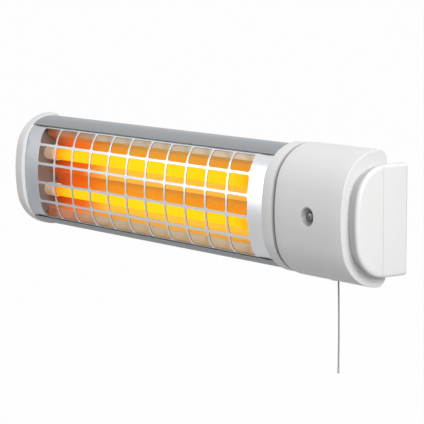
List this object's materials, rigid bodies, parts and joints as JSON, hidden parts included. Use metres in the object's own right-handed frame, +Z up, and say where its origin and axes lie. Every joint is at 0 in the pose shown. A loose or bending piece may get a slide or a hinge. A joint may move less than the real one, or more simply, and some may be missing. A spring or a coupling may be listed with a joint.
{
  "type": "wall-mounted quartz-tube radiant heater",
  "caption": "Long D-section wall heater with quartz tubes behind a curved window grille, a pull-cord switch box and tilting end brackets.",
  "frame": {"origin": "on the wall plane, midway between the four wall-screw holes, at the height of the tilt axis", "axes": "+X along the heater towards the control box, +Y into the wall, so the grille faces -Y, and +Z up"},
  "size_m": [0.5286, 0.0574, 0.1896],
  "materials": {
    "bracket_plastic": "satin",
    "fastener_steel": "zinc plated",
    "fibre": "matt fibre",
    "casing_paint": "satin silver-grey",
    "grille_steel": "bright satin",
    "reflector_aluminium": "polished",
    "plate_steel": "heat-dulled",
    "quartz": "satin",
    "winding_wire": "heat-dulled",
    "ceramic": "unglazed ceramic",
    "terminal_brass": "plain",
    "housing_plastic": "satin light grey",
    "switch_plastic": "matt",
    "cord_braid": "braided",
    "grommet_rubber": "matt"
  },
  "bodies": {
    "wall_bracket": {"bracket_foot_right": "bracket_plastic", "bracket_cap_right": "bracket_plastic", "bracket_left": "bracket_plastic", "pivot_bolt_left": "fastener_steel", "pivot_nut_left": "fastener_steel", "friction_washers": "fibre"},
    "heater": {"outer_casing": "casing_paint", "front_grille": "grille_steel", "reflector": "reflector_aluminium", "end_plate_left": "plate_steel", "end_plate_right": "plate_steel", "quartz_tube_upper": "quartz", "quartz_tube_lower": "quartz", "heating_coil_upper": "winding_wire", "heating_coil_lower": "winding_wire", "ceramic_holders": "ceramic", "tube_terminals": "terminal_brass", "left_end_cap": "housing_plastic", "right_end_ring": "housing_plastic", "control_box": "housing_plastic", "control_box_screw": "fastener_steel", "control_chassis": "plate_steel", "terminal_block": "switch_plastic", "thermal_cutout": "switch_plastic", "pull_switch_body": "switch_plastic", "cord_bush": "housing_plastic", "trunnion_right": "bracket_plastic", "trunnion_nut": "bracket_plastic", "mains_grommet": "grommet_rubber"},
    "plunger": {"switch_plunger": "switch_plastic"},
    "cord": {"pull_cord": "cord_braid", "cord_tip": "housing_plastic"}
  },
  "joints": [
    {"name": "tilt", "type": "hinge", "parent": "wall_bracket", "child": "heater", "pos_m": [0, -0.027, 0], "axis": [1, 0, 0], "range_deg": [-10, 10]},
    {"name": "cord_pull", "type": "slide", "parent": "heater", "child": "plunger", "axis": [0, 0, -1], "range_m": [0, 0.007], "stiffness_N_per_m": 400},
    {"name": "cord_swing", "type": "hinge", "parent": "plunger", "child": "cord", "pos_m": [0.20003, -0.019, -0.04], "axis": [1, 0, 0], "range_deg": [-10, 10]}
  ],
  "couplings": [
    {"joint": "cord_swing", "follows": "tilt", "ratio": -1}
  ]
}
